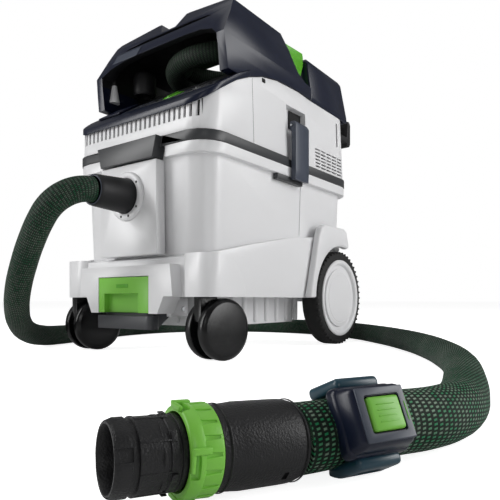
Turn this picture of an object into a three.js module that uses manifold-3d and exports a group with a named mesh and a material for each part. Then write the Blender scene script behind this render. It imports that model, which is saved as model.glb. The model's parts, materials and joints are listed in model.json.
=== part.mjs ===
// A wheeled dust extractor: a white container on a wheeled chassis, a motor head that is clamped
// on it, a hose bay and tool-case dock on the head, and a braided suction hose on the inlet.
// Millimetres, +Z up. The inlet side is the front and faces -Y. Everything is drawn from the line
// of the front castor wheels, and the outer group moves the origin under the middle of the machine.

import * as THREE from 'three';
import { mergeVertices } from 'three/addons/utils/BufferGeometryUtils.js';
import Module from 'manifold-3d';

const wasm = await Module();
wasm.setup();

// ---- driving dimensions ----

const FRONT_REACH = 60;            // the pedal's front, ahead of the castor wheels' line
const REAR_REACH = 545;            // the cable hooks' back, behind that line
const GAP = 0.35;                  // play kept between pieces that touch

const RIM_HALF_WIDTH = 171;        // the band between container and head, the body's widest line
const RIM_FRONT = -38;
const RIM_BACK = 460;
const RIM_RADIUS = 48;
const FLANGE_BOTTOM = 328;         // the container's rim flange
const BAND_BOTTOM = 346;           // the dark band of the head's frame
const BAND_TOP = 363;
const TUB_BOTTOM = 112;            // where the container meets its ribbed belly
const BELLY_BOTTOM = 50;
const TUB_INSET = 11.5;            // the tub's wall, inside the rim
const TUB_DRAFT = 7;               // how much further in the wall is at the tub's bottom
const WALL = 4;

const WHEEL_RADIUS = 100;
const WHEEL_BASE = 388;            // from the castor wheels' line back to the rear axle
const WHEEL_OUTER = 182;
const TYRE_WIDTH = 42;
const ARCH_RADIUS = 110;

const CASTOR_X = 157;              // the swivel's axis
const CASTOR_TRAIL = 24;           // the castor wheel's axle, behind the swivel's axis
const CASTOR_RADIUS = 49;
const CASTOR_DISC = 17;
const CASTOR_GAP = 9;              // from the castor's middle to the inner face of each disc
const CASTOR_TOP = 103;            // the underside of the castor housings
const CASTOR_TURN = { right: -8, left: -4.5 };   // degrees each castor stands turned at rest

const PORT_HEIGHT = 271;           // the inlet's axis
const PORT_RADIUS = 30;
const PANEL_HALF_WIDTH = 68;
const PANEL_FRONT = -47;
const PANEL_BACK = -28;
const CUFF_END = -118;

const HOSE_RADIUS = 20;
const COUPLING_START = [548.5, -396.6, 21.4];
const COUPLING_HEADING = [-0.3952, -0.9175, 0.045];
const LEVER_PIVOT = [5, 80];       // the brake lever's pin, in the side view (Y, Z)
const CLAMP_PIVOT = [266, 546];    // the case clamp's pins, in the side view
const LATCH_PIVOT = [174, 424];    // the latches' pins, in the front view (X, Z)
const DECK_SLOPE = Math.atan(0.65);
const DECK_MIDDLE = [19, 453];     // the middle of the deck's slope, in the side view

// The white head's top line and what stands on it, in the side view (Y, Z).
const SHELL_TOP = [
  [-40, 399], [-34, 404], [2, 431], [45, 459], [80, 476],
  [120, 490], [168, 499], [241, 502], [290, 499], [470, 497],
];

// ---- materials ----

function paint(color, roughness, metalness = 0) {
  return new THREE.MeshStandardMaterial({ color, roughness, metalness });
}

const white = paint(0xe9eaec, 0.4);
const navy = paint(0x171d30, 0.42);
const bandGrey = paint(0x55585c, 0.5);
const green = paint(0x6fc23a, 0.38);
const black = paint(0x141416, 0.5);
const rubber = paint(0x18181a, 0.75);
const steel = paint(0x9a9da1, 0.3, 0.9);
const pedalGrey = paint(0x44464b, 0.55);
const braid = paint(0x1d3b2a, 0.7);
const paper = paint(0xd8d2bd, 0.9);

// ---- joining and cutting ----

function toSolid(geometry) {
  const bare = geometry.index ? geometry.toNonIndexed() : geometry.clone();
  bare.deleteAttribute('normal');
  bare.deleteAttribute('uv');
  const merged = mergeVertices(bare, 1e-4);
  return new wasm.Manifold(new wasm.Mesh({
    numProp: 3,
    vertProperties: new Float32Array(merged.attributes.position.array),
    triVerts: new Uint32Array(merged.index.array),
  }));
}

function toGeometry(solid) {
  const mesh = solid.getMesh();
  const geometry = new THREE.BufferGeometry();
  geometry.setAttribute('position', new THREE.BufferAttribute(new Float32Array(mesh.vertProperties), 3));
  geometry.setIndex(new THREE.BufferAttribute(new Uint32Array(mesh.triVerts), 1));
  geometry.computeVertexNormals();
  return geometry;
}

function join(...geometries) {
  return toGeometry(geometries.map(toSolid).reduce((whole, next) => whole.add(next)));
}

function cut(base, ...tools) {
  return toGeometry(tools.map(toSolid).reduce((whole, tool) => whole.subtract(tool), toSolid(base)));
}

function common(...geometries) {
  return toGeometry(geometries.map(toSolid).reduce((whole, next) => whole.intersect(next)));
}

// ---- shapes ----

function roundedOutline(halfWidth, front, back, radius) {
  const shape = new THREE.Shape();
  shape.moveTo(halfWidth, front + radius);
  shape.absarc(halfWidth - radius, back - radius, radius, 0, Math.PI / 2, false);
  shape.absarc(-halfWidth + radius, back - radius, radius, Math.PI / 2, Math.PI, false);
  shape.absarc(-halfWidth + radius, front + radius, radius, Math.PI, 1.5 * Math.PI, false);
  shape.absarc(halfWidth - radius, front + radius, radius, -Math.PI / 2, 0, false);
  return shape;
}

function outlineOf(points) {
  return new THREE.Shape(points.map(([a, b]) => new THREE.Vector2(a, b)));
}

function plate(shape, bottom, top, curveSegments = 3) {
  const geometry = new THREE.ExtrudeGeometry(shape, { depth: top - bottom, bevelEnabled: false, curveSegments });
  return geometry.translate(0, 0, bottom);
}

// An outline in the side view (Y, Z), carried across from one X to another.
function sideways(shape, left, right, curveSegments = 6) {
  const geometry = new THREE.ExtrudeGeometry(shape, { depth: right - left, bevelEnabled: false, curveSegments });
  const turn = new THREE.Matrix4().makeBasis(
    new THREE.Vector3(0, 1, 0), new THREE.Vector3(0, 0, 1), new THREE.Vector3(1, 0, 0));
  return geometry.applyMatrix4(turn).translate(left, 0, 0);
}

// An outline in the front view (X, Z), carried back from one Y to another.
function lengthways(shape, front, back, curveSegments = 8) {
  const geometry = new THREE.ExtrudeGeometry(shape, { depth: back - front, bevelEnabled: false, curveSegments });
  const turn = new THREE.Matrix4().makeBasis(
    new THREE.Vector3(1, 0, 0), new THREE.Vector3(0, 0, 1), new THREE.Vector3(0, -1, 0));
  return geometry.applyMatrix4(turn).translate(0, back, 0);
}

function block(x0, x1, y0, y1, z0, z1) {
  const geometry = new THREE.BoxGeometry(x1 - x0, y1 - y0, z1 - z0);
  return geometry.translate((x0 + x1) / 2, (y0 + y1) / 2, (z0 + z1) / 2);
}

// A turned piece along X, Y or Z from a list of [radius, distance along the axis].
function turned(profile, axis, segments = 20) {
  const closed = [...profile, profile[0]].map(([radius, along]) => new THREE.Vector2(radius, along));
  const geometry = new THREE.LatheGeometry(closed, segments);
  if (axis === 'x') geometry.rotateZ(-Math.PI / 2);
  if (axis === 'z') geometry.rotateX(Math.PI / 2);
  return geometry;
}

function rod(radius, from, to, axis, segments = 14) {
  return turned([[0, from], [radius, from], [radius, to], [0, to]], axis, segments);
}

// Draws the sides in as a piece goes down, the way a moulding's draft does.
function drafted(geometry, top, bottom, inset) {
  const box = new THREE.Box3().setFromBufferAttribute(geometry.attributes.position);
  const middle = box.getCenter(new THREE.Vector3());
  const half = box.getSize(new THREE.Vector3()).multiplyScalar(0.5);
  const position = geometry.attributes.position;
  for (let i = 0; i < position.count; i += 1) {
    const share = (top - position.getZ(i)) / (top - bottom);
    position.setX(i, middle.x + (position.getX(i) - middle.x) * (1 - (share * inset) / half.x));
    position.setY(i, middle.y + (position.getY(i) - middle.y) * (1 - (share * inset) / half.y));
  }
  return geometry;
}

function raised(points, rise) {
  return points.map(([y, z]) => [y, z + rise]);
}

function between(points, front, back) {
  return points.filter(([y]) => y >= front && y <= back);
}

// ---- the assembly ----

const machine = new THREE.Group();
machine.position.y = (FRONT_REACH - REAR_REACH) / 2;

const assembly = new THREE.Group();
assembly.add(machine);

function piece(name, geometry, material, parent = machine) {
  const mesh = new THREE.Mesh(geometry, material);
  mesh.name = name;
  parent.add(mesh);
  return mesh;
}

function mirrored(geometry) {
  const copy = geometry.index ? geometry.toNonIndexed() : geometry.clone();
  copy.scale(-1, 1, 1);
  const position = copy.attributes.position;
  for (let i = 0; i < position.count; i += 3) {
    const second = [position.getX(i + 1), position.getY(i + 1), position.getZ(i + 1)];
    position.setXYZ(i + 1, position.getX(i + 2), position.getY(i + 2), position.getZ(i + 2));
    position.setXYZ(i + 2, ...second);
  }
  return copy;
}

function pair(name, rightGeometry, material) {
  piece(`${name}_right`, rightGeometry, material);
  piece(`${name}_left`, mirrored(rightGeometry), material);
}

// The container: a drafted tub with a rim flange and a ribbed belly.
const TUB_HALF_WIDTH = RIM_HALF_WIDTH - TUB_INSET;
const TUB_FRONT = RIM_FRONT + TUB_INSET;
const TUB_BACK = RIM_BACK - TUB_INSET;
const TUB_RADIUS = RIM_RADIUS - 4;
const BELLY_HALF_WIDTH = 110;
const BELLY_FRONT = 32;
const BELLY_BACK = 325;

function tub(inset, bottom, top) {
  const outline = roundedOutline(TUB_HALF_WIDTH - inset, TUB_FRONT + inset, TUB_BACK - inset, TUB_RADIUS - inset);
  return drafted(plate(outline, bottom, top), top, bottom, TUB_DRAFT);
}

function belly(inset, top) {
  const outline = roundedOutline(
    BELLY_HALF_WIDTH - inset, BELLY_FRONT + inset, BELLY_BACK - inset, 30 - inset);
  return plate(outline, BELLY_BOTTOM + inset, top);
}

// The room each rear wheel needs inside the container's lower corners.
function wheelWell(side, margin) {
  return rod(ARCH_RADIUS + 3 + margin, -35 - margin, 60, 'x', 28)
    .scale(side, 1, 1).translate(side * 168, WHEEL_BASE, WHEEL_RADIUS);
}

const flange = plate(
  roundedOutline(RIM_HALF_WIDTH - 1, RIM_FRONT + 1, RIM_BACK - 1, RIM_RADIUS),
  FLANGE_BOTTOM, BAND_BOTTOM - GAP);
const inletHole = rod(PORT_RADIUS + GAP, -60, 20, 'y').translate(0, 0, PORT_HEIGHT);
const catchRoom = block(-80, 80, -60, TUB_FRONT - 0.5, FLANGE_BOTTOM - 2, BAND_TOP);
const tubOutside = cut(tub(0, TUB_BOTTOM, FLANGE_BOTTOM + 2), wheelWell(1, 0), mirrored(wheelWell(1, 0)));
const tubInside = cut(tub(WALL, TUB_BOTTOM + WALL, 420), wheelWell(1, WALL), mirrored(wheelWell(1, WALL)));
piece('container', cut(
  join(tubOutside, cut(flange, catchRoom), belly(0, TUB_BOTTOM + 2)),
  tubInside, belly(WALL, TUB_BOTTOM + 10), inletHole), white);

// The inlet: a screwed panel on the container's front, a collar and the hose's swivel cuff.
const panelOutline = outlineOf([
  [-PANEL_HALF_WIDTH - 4, 170], [PANEL_HALF_WIDTH + 4, 170],
  [PANEL_HALF_WIDTH + 2, 325], [-PANEL_HALF_WIDTH - 2, 325],
]);
const portBore = rod(PORT_RADIUS + GAP, -70, 0, 'y').translate(0, 0, PORT_HEIGHT);
piece('inlet_panel', cut(lengthways(panelOutline, PANEL_FRONT, PANEL_BACK), portBore), white);

piece('inlet_collar', turned([
  [PORT_RADIUS + GAP, PANEL_FRONT - GAP], [PORT_RADIUS + GAP, PANEL_FRONT - 6],
  [38, PANEL_FRONT - 6], [41.5, PANEL_FRONT - 3], [41.5, PANEL_FRONT - GAP],
], 'y', 24).translate(0, 0, PORT_HEIGHT), white);

piece('inlet_cuff', turned([
  [22, CUFF_END], [25, CUFF_END], [26, CUFF_END + 10], [29.5, PANEL_FRONT - 6],
  [29.5, PANEL_BACK + 24], [25, PANEL_BACK + 24], [22, PANEL_BACK + 10],
], 'y', 20).translate(0, 0, PORT_HEIGHT), black);

// The chassis: a skirt round the container's foot with a bumper, castor housings and wheel arches.
const CHASSIS_BOTTOM = 100;
const BUMPER_FRONT = -58;
const sideTop = [[-70, 152], [-24, 168], [80, 190], [205, 213], [288, 222], [450, 222]];
const chassisBody = common(
  plate(roundedOutline(168, -36, 436, 40), 60, 240),
  sideways(outlineOf([[-70, CHASSIS_BOTTOM], ...sideTop, [450, CHASSIS_BOTTOM]]), -200, 200));
const castorHousings = [-1, 1].map((side) => plate(
  roundedOutline(34, -46, 62, 26), CASTOR_TOP - 3, 168).translate(side * 151, 0, 0));
const bumperShape = outlineOf([
  [-98, 101], [-84, 73], [84, 73], [98, 101], [118, 101], [112, 152], [-112, 152], [-118, 101],
]);
const bumper = lengthways(bumperShape, BUMPER_FRONT, -20);
const LEVER_SLOT = 64;
const leverSlot = block(-LEVER_SLOT, LEVER_SLOT, -70, 60, 60, 134.5);
const wheelRooms = [-1, 1].map((side) => rod(ARCH_RADIUS, -30, 30, 'x', 28)
  .translate(side * 158, WHEEL_BASE, WHEEL_RADIUS));
const tubRoom = tub(-GAP - 0.4, TUB_BOTTOM - GAP, FLANGE_BOTTOM + 2);
const bellyRoom = plate(roundedOutline(BELLY_HALF_WIDTH + 1, BELLY_FRONT - 1, BELLY_BACK + 1, 31), 40, TUB_BOTTOM + 2.5);
const axleRoom = rod(8.2, -200, 200, 'x').translate(0, WHEEL_BASE, WHEEL_RADIUS);
const axleBoxes = [-1, 1].map((side) => block(
  side * 122 - 10, side * 122 + 10, WHEEL_BASE - 22, WHEEL_BASE + 22, 84, 112));
const castorSockets = [-1, 1].map((side) => join(rod(8.35, 80, 152, 'z'), rod(20.5, 90, CASTOR_TOP, 'z', 20))
  .translate(side * CASTOR_X, -CASTOR_TRAIL, 0));
const shaftBrackets = [-1, 1].map((side) => block(side * 76.5 - 4.5, side * 76.5 + 4.5, -25, 16, 68, 104));
const shaftRoom = rod(4.35, -100, 100, 'x').translate(0, LEVER_PIVOT[0], LEVER_PIVOT[1]);
const hollowUnder = cut(
  plate(roundedOutline(150, -16, 420, 30), 98, 103.5), block(-200, 200, 340, 440, 90, 110));
piece('chassis', cut(
  join(cut(join(chassisBody, ...castorHousings, bumper), ...wheelRooms), ...axleBoxes, ...shaftBrackets),
  leverSlot, tubRoom, bellyRoom, axleRoom, shaftRoom, ...castorSockets, hollowUnder), white);

// The wheel arches' outer fenders, screwed to the chassis.
function fender() {
  const shape = new THREE.Shape();
  shape.moveTo(254, CHASSIS_BOTTOM);
  shape.lineTo(WHEEL_BASE - ARCH_RADIUS, CHASSIS_BOTTOM);
  shape.absarc(WHEEL_BASE, WHEEL_RADIUS, ARCH_RADIUS, Math.PI, 0.42 * Math.PI, true);
  shape.lineTo(423, 212);
  shape.lineTo(412, 244);
  shape.lineTo(398, 250);
  shape.lineTo(316, 250);
  shape.lineTo(300, 243);
  shape.lineTo(290, 224);
  return sideways(shape, 168 + GAP, 184, 10);
}
pair('wheel_fender', fender(), white);

// The rear wheels on their axle.
piece('rear_axle', rod(8, -174, 174, 'x').translate(0, WHEEL_BASE, WHEEL_RADIUS), steel);
const WHEEL_INNER = WHEEL_OUTER - TYRE_WIDTH;
const RIM_EDGE = 82;
pair('tyre', turned([
  [RIM_EDGE, WHEEL_INNER], [94, WHEEL_INNER], [WHEEL_RADIUS, WHEEL_INNER + 8],
  [WHEEL_RADIUS, WHEEL_OUTER - 10], [93, WHEEL_OUTER - 2], [RIM_EDGE, WHEEL_OUTER - 2],
], 'x', 28).translate(0, WHEEL_BASE, WHEEL_RADIUS), rubber);
pair('wheel_rim', turned([
  [8.4, WHEEL_INNER + 3], [22, WHEEL_INNER + 3], [24, WHEEL_OUTER - 26],
  [RIM_EDGE - 10, WHEEL_OUTER - 26], [RIM_EDGE - 8, WHEEL_INNER + 1], [RIM_EDGE - GAP, WHEEL_INNER + 1],
  [RIM_EDGE - GAP, WHEEL_OUTER], [RIM_EDGE - 8, WHEEL_OUTER], [RIM_EDGE - 12, WHEEL_OUTER - 7],
  [8.4, WHEEL_OUTER - 7],
], 'x', 28).translate(0, WHEEL_BASE, WHEEL_RADIUS), white);
pair('hub_cap', turned([
  [0, WHEEL_OUTER - 6.5], [62, WHEEL_OUTER - 6.5], [62, WHEEL_OUTER - 4], [50, WHEEL_OUTER - 2.5],
  [0, WHEEL_OUTER - 1.5],
], 'x', 20).translate(0, WHEEL_BASE, WHEEL_RADIUS), white);

// The front castors: swivel housing with its pin, an axle and two discs on each side.
function castor(side) {
  const name = side > 0 ? 'right' : 'left';
  const group = new THREE.Group();
  group.position.set(side * CASTOR_X, -CASTOR_TRAIL, 0);
  group.rotation.z = THREE.MathUtils.degToRad(CASTOR_TURN[name]);
  machine.add(group);
  const axleHeight = CASTOR_RADIUS;
  const arm = common(
    sideways(outlineOf([
      [-17, CASTOR_TOP - 0.5], [-17, 62], [CASTOR_TRAIL - 12, 38], [CASTOR_TRAIL + 12, 38],
      [CASTOR_TRAIL + 14, 62], [17, 78], [17, CASTOR_TOP - 0.5],
    ]), -CASTOR_GAP + 1, CASTOR_GAP - 1),
    block(-20, 20, -30, 60, 30, CASTOR_TOP));
  const head = rod(17, 98.6, CASTOR_TOP - 0.5, 'z', 20);
  const axleHole = rod(4.35, -20, 20, 'x').translate(0, CASTOR_TRAIL, axleHeight);
  const pinHole = rod(6.5, 97, CASTOR_TOP + 1, 'z');
  piece(`castor_fork_${name}`, cut(join(arm, head), axleHole, pinHole), black, group);
  piece(`castor_pin_${name}`, turned([[0, 97.3], [6, 97.3], [6, CASTOR_TOP], [8, CASTOR_TOP], [8, 150], [0, 150]], 'z', 14), steel, group);
  piece(`castor_axle_${name}`,
    rod(4, -CASTOR_GAP - 14, CASTOR_GAP + 14, 'x').translate(0, CASTOR_TRAIL, axleHeight), steel, group);
  for (const face of [-1, 1]) {
    const place = face * side > 0 ? 'outer' : 'inner';
    const disc = turned([
      [4.35, CASTOR_GAP], [CASTOR_RADIUS, CASTOR_GAP], [CASTOR_RADIUS, CASTOR_GAP + 11],
      [CASTOR_RADIUS - 6, CASTOR_GAP + CASTOR_DISC], [0, CASTOR_GAP + CASTOR_DISC],
      [0, CASTOR_GAP + 15], [4.35, CASTOR_GAP + 15],
    ], 'x', 22);
    const placed = face > 0 ? disc : mirrored(disc);
    piece(`castor_wheel_${place}_${name}`, placed.translate(0, CASTOR_TRAIL, axleHeight), black, group);
  }
}
castor(1);
castor(-1);

// The castor brake: a green plate and a foot pedal on one lever, turning on a cross shaft.
const [leverY, leverZ] = LEVER_PIVOT;
piece('brake_shaft', rod(4, -82, 82, 'x').translate(0, leverY, leverZ), steel);
const shaftHole = rod(4.5, -100, 100, 'x').translate(0, leverY, leverZ);
const scoop = block(-48, 38, -70, -46, 60, 106);
piece('brake_plate', cut(
  join(
    block(-63, 63, -57.5, -50, 74, 133.5),
    block(-50, 40, -52, -38, 74, 112)),
  scoop), green);
const pedalBar = plate(roundedOutline(69, -FRONT_REACH, -34, 10), 47, 69);
const leverArms = [-1, 1].map((side) => sideways(outlineOf([
  [-44, 50], [-44, 69], [leverY - 8, 88], [leverY + 8, 88], [leverY + 8, 72], [leverY - 8, 70], [-30, 50],
]), side * 56 - 4, side * 56 + 4));
piece('brake_pedal', cut(
  join(pedalBar, ...leverArms, block(-60, 60, -44, -36, 60, 73.6)), shaftHole), pedalGrey);

// ---- the motor head ----

function shellBody(inset, bottom, drop) {
  const line = raised(SHELL_TOP, -drop);
  const column = drafted(plate(
    roundedOutline(162 - inset, -29.5 + inset, 451.5 - inset, 42 - inset), bottom, 515), 515, bottom, -5);
  return common(column, sideways(outlineOf([[-60, bottom], ...line, [490, 497 - drop], [490, bottom]]), -200, 200));
}

const LATCH_RECESS = { front: 196, back: 266, top: 465, depth: 16 };
function latchRecess(margin) {
  return block(
    166.5 - LATCH_RECESS.depth - margin, 190, LATCH_RECESS.front - margin, LATCH_RECESS.back + margin,
    BAND_TOP - 20, LATCH_RECESS.top + margin);
}

const combSlots = [];
for (let i = 0; i < 26; i += 1) {
  const x = -143.75 + i * 11.5;
  combSlots.push(block(x - 2.6, x + 2.6, -50, -20, 384, 410));
}
const exhaustSlots = [];
for (let row = 0; row < 6; row += 1) {
  exhaustSlots.push(block(150, 190, 303, 421, 369 + row * 7, 372.4 + row * 7));
}
const rearSlot = block(150, 190, 398, 404, 432, 484);
const cavity = cut(
  shellBody(WALL, 355, WALL), latchRecess(WALL), mirrored(latchRecess(WALL)));
piece('head_shell', cut(
  shellBody(0, BAND_TOP + GAP, 0), cavity, latchRecess(0), mirrored(latchRecess(0)),
  ...combSlots, ...exhaustSlots, ...exhaustSlots.map(mirrored), rearSlot, mirrored(rearSlot)), white);

// The head's frame: the dark band, the floor that carries the motor, and the front catch.
const frontCatch = lengthways(outlineOf([[-66, 327], [66, 327], [75, 362], [-75, 362]]), -52, TUB_FRONT - 1);
const latchNotch = block(164, 190, LATCH_RECESS.front - 1, LATCH_RECESS.back + 1, 300, 400);
const motorHole = rod(46, 300, 400, 'z', 20).translate(0, 300, 0);
piece('head_frame', cut(
  join(
    plate(roundedOutline(RIM_HALF_WIDTH, RIM_FRONT, RIM_BACK, RIM_RADIUS), BAND_BOTTOM, BAND_TOP),
    frontCatch),
  plate(roundedOutline(154, -21, 443, 38), 352, 380),
  plate(roundedOutline(146, -13, 435, 34), 340, 348),
  latchNotch, mirrored(latchNotch), motorHole), bandGrey);

// The suction motor, its fan and the main filter below the frame's floor.
piece('motor', join(
  rod(62, 388, 452, 'z', 20).translate(0, 300, 0),
  rod(36, 450, 480, 'z', 16).translate(0, 300, 0),
  block(-90, 90, 290, 310, 352 + GAP, 366),
  block(-90, -78, 290, 310, 352 + GAP, 400),
  block(78, 90, 290, 310, 352 + GAP, 400),
  block(-90, 90, 290, 310, 392, 400)).toNonIndexed(), steel);
const fanGeometry = join(
  rod(52, 370, 374, 'z', 20), rod(52, 383, 386, 'z', 20), rod(10, 369, 387, 'z'),
  ...[0, 1, 2, 3, 4, 5].map((blade) => block(8, 50, -1.2, 1.2, 372, 385).rotateZ((blade * Math.PI) / 3)));
piece('fan_impeller', fanGeometry.translate(0, 300, 0), steel);
piece('main_filter', plate(roundedOutline(105, 182, 418, 12), 292, 348 - GAP - 0.3), paper);

// The navy control deck, with a socket, its lid and two dials let into it.
const deckLine = between(SHELL_TOP, -40, 80);
const deckProfile = [...raised(deckLine, 0.6), ...raised(deckLine, 11).reverse()];
const deckOutline = roundedOutline(167, RIM_FRONT + 0.5, 300, 44);
const deckRaw = common(
  plate(deckOutline, 380, 520), sideways(outlineOf(deckProfile), -180, 180),
  block(-200, 200, -60, 79.4, 380, 520));

// A frame lying on the deck's slope: X across, Y up the slope, Z out of the deck.
function onDeck(geometry, x, along, out = 0) {
  const turn = new THREE.Matrix4().makeRotationX(DECK_SLOPE);
  geometry.applyMatrix4(turn);
  const y = DECK_MIDDLE[0] + along * Math.cos(DECK_SLOPE) - out * Math.sin(DECK_SLOPE);
  const z = DECK_MIDDLE[1] + along * Math.sin(DECK_SLOPE) + out * Math.cos(DECK_SLOPE);
  return geometry.translate(x, y, z);
}
const SOCKET_X = -104;
const DIAL_X = [42, 108];
const DIAL_ALONG = 2;
const SOCKET_ALONG = 0;
const DIAL_RADIUS = 17;
const dialPockets = DIAL_X.map((x) => onDeck(rod(DIAL_RADIUS + 1, -4, 20, 'z', 20), x, DIAL_ALONG));
const socketPocket = onDeck(block(-31, 31, -27, 31, -5, 20), SOCKET_X, SOCKET_ALONG);
piece('control_deck', cut(deckRaw, ...dialPockets, socketPocket), navy);
piece('suction_dial', onDeck(join(
  rod(DIAL_RADIUS, -3.5, 1.6, 'z', 20), block(-2, 2, -15, 15, 1, 3.6)), DIAL_X[0], DIAL_ALONG), green);
piece('mode_dial', onDeck(join(
  rod(DIAL_RADIUS, -3.5, 1.6, 'z', 20), block(-2, 2, -15, 15, 1, 3.6)), DIAL_X[1], DIAL_ALONG), bandGrey);
piece('tool_socket', onDeck(cut(
  block(-24, 24, -22, 26, -4.5, 0), rod(18, -1.5, 10, 'z', 20)), SOCKET_X, SOCKET_ALONG), black);
piece('socket_lid', onDeck(block(-30, 30, -26, 30, 0.5, 4), SOCKET_X, SOCKET_ALONG), navy);

// The hose bay: a floor, two legs and an arched roof that carries a tool case.
const [clampY, clampZ] = CLAMP_PIVOT;
const garageSide = outlineOf([
  ...raised(between(SHELL_TOP, 80, 241), 0.5), [289.5, 499.5],
  [289.5, 526], [267, 529], [243, 541], [224, 566], [196, 606], [192, 624],
  [66, 624], [45, 588], [24, 550], [13, 530], [22, 456], [45, 470.6], [79.9, 487.8],
]);
const garageFront = outlineOf([
  [-166, 470], [166, 470], [165, 500], [163, 530], [157, 575], [150, 603], [140, 609],
  [42, 620], [-42, 620], [-140, 609], [-150, 603], [-157, 575], [-163, 530], [-165, 500],
]);
function bayOutline(sideTopHeight, middleTop) {
  const shape = new THREE.Shape();
  shape.moveTo(-148, 508);
  shape.lineTo(148, 508);
  shape.lineTo(147, sideTopHeight);
  shape.quadraticCurveTo(130, middleTop, 60, middleTop);
  shape.lineTo(-60, middleTop);
  shape.quadraticCurveTo(-130, middleTop, -147, sideTopHeight);
  return shape;
}
const clampLugs = [-1, 1].map((side) => join(
  block(side * 133.5 - 3, side * 133.5 + 3, 256, 276, 504, 553),
  rod(4, side * 141 - 5, side * 141 + 5, 'x').translate(0, clampY, clampZ)));
const clampSlots = [-1, 1].map((side) => block(side * 141 - 5.7, side * 141 + 5.7, 198, 240, 540, 601));
const gripNotch = lengthways(outlineOf([[-44, 640], [-18, 595], [18, 595], [44, 640]]), 0, 100);
piece('hose_bay', join(cut(
  common(sideways(garageSide, -180, 180), lengthways(garageFront, 0, 300)),
  lengthways(bayOutline(530, 558), 0, 52, 3),
  lengthways(bayOutline(560, 590), 42, 300, 3),
  sideways(outlineOf([[5, 515], [5, 420], [80, 478], [82, 489], [106, 508.2], [106, 515]]), -148, 148),
  gripNotch, ...clampSlots), ...clampLugs), navy);

// The rear cover, open below.
const rearSide = outlineOf([
  ...raised(between(SHELL_TOP, 290, 290), 0.5), [455, 497.8], [452, 505], [443, 586], [436, 591],
  [298, 593], [292, 586],
]);
const rearFront = outlineOf([
  [-165, 480], [165, 480], [163.5, 510], [153, 580], [145, 596], [-145, 596], [-153, 580], [-163.5, 510],
]);
const rearHollow = common(
  sideways(outlineOf([[296, 480], [449, 480], [438, 584], [297, 586]]), -160, 160),
  lengthways(outlineOf([[-160, 470], [160, 470], [149, 580], [-149, 580]]), 280, 470));
piece('rear_cover', cut(
  common(sideways(rearSide, -180, 180), lengthways(rearFront, 280, 470)), rearHollow), navy);

// The green case clamp: two cheeks joined by a bar, on two pins in the bay's legs.
const clampCheek = outlineOf([
  [213, 586], [216, 595], [286, 599], [288.5, 592], [288, 574], [274, 538], [262, 534], [252, 544], [228, 570],
]);
piece('case_clamp', cut(
  join(
    sideways(clampCheek, -145, -137), sideways(clampCheek, 137, 145),
    block(-140, 140, 268, 286, 584, 597)),
  rod(4.5, -150, 150, 'x').translate(0, clampY, clampZ)), green);

// The head's latches, hinged at their tops in the side recesses.
const [latchX, latchZ] = LATCH_PIVOT;
const latchProfile = outlineOf([
  [173, 323], [182, 322], [183, 340], [183, 425], [179, 432], [170, 432], [169, 418], [173, 412],
]);
pair('latch', cut(
  lengthways(latchProfile, 200, 248),
  rod(2.4, 190, 260, 'y', 12).translate(latchX, 0, latchZ)), navy);
pair('latch_pin', rod(2, 197, 251, 'y', 12).translate(latchX, 0, latchZ), steel);
pair('latch_catch', block(TUB_HALF_WIDTH + GAP + 0.3, RIM_HALF_WIDTH - 1, 158, 246, 317, 328 - GAP), bandGrey);

// The cable hooks on the head's back.
const hookShape = outlineOf([
  [457, 492], [457, 478], [526, 478], [530, 470], [540, 470], [REAR_REACH, 478], [REAR_REACH, 524],
  [540, 532], [530, 532], [526, 492],
]);
pair('cable_hook', sideways(hookShape, 96, 128), black);

// ---- the suction hose ----

const couplingPoint = new THREE.Vector3(...COUPLING_START);
const hosePoints = [
  [0, CUFF_END - 1, 271], [-1.3, -134.5, 269.5], [-5.2, -149, 265], [-11.5, -161.4, 257.7],
  [-19.6, -171, 248.2], [-29, -177, 237.2], [-40, -180, 224], [-66, -181.5, 191], [-95, -179, 152],
  [-124, -172, 114], [-158, -155, 80], [-196, -128, 54], [-234, -90, 35], [-270, -38, 24],
  [-302, 24, 20.6], [-338, 110, 20.2], [-378, 220, 20.2], [-404, 330, 20.2], [-398, 440, 20.2],
  [-345, 540, 20.2], [-250, 606, 20.2], [-130, 634, 20.2], [0, 614, 20.2], [128, 546, 20.2],
  [246, 440, 20.2], [337, 337, 20.2], [409, 236, 20.2], [480, 110, 20.2], [532, -10, 20.2],
  [568, -130, 20.2], [588, -212.5, 20.2], [594, -245.5, 20.2], [594.5, -277.5, 20.8], [589, -308.5, 21.8],
  [578.5, -334, 22.6], [566.5, -357, 22.5], [556.5, -378, 21.3],
].map(([x, y, z]) => new THREE.Vector3(x, y, z));
hosePoints.push(couplingPoint.clone().addScaledVector(new THREE.Vector3(...COUPLING_HEADING), -GAP));
const hosePath = new THREE.CatmullRomCurve3(hosePoints, false, 'centripetal');
const hoseSection = new THREE.Shape();
hoseSection.absarc(0, 0, HOSE_RADIUS, 0, 2 * Math.PI, false);
piece('hose', new THREE.ExtrudeGeometry(hoseSection, {
  steps: 56, bevelEnabled: false, curveSegments: 4, extrudePath: hosePath,
}), braid);

// The tool coupling: rubber sleeve, green locking ring and bayonet end on one axis.
const coupling = new THREE.Group();
coupling.position.copy(couplingPoint);
coupling.quaternion.setFromUnitVectors(
  new THREE.Vector3(0, 1, 0), new THREE.Vector3(...COUPLING_HEADING).normalize());
machine.add(coupling);
piece('coupling_sleeve', turned([
  [16, 1], [19.5, 1], [20.6, 4], [21.4, 9], [21.6, 36], [20.8, 50.6], [16, 50.6],
], 'y', 20), rubber, coupling);
piece('locking_ring', turned([
  [16.5, 51], [22, 51], [22.3, 53], [22.3, 62], [21.4, 67], [18.8, 67], [16.5, 62],
], 'y', 20), green, coupling);
piece('bayonet_end', turned([
  [14, 51], [16.1, 51], [16.1, 67.4], [17.8, 67.4], [17.8, 96], [16.6, 99.5], [14, 99.5],
], 'y', 20), rubber, coupling);

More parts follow.
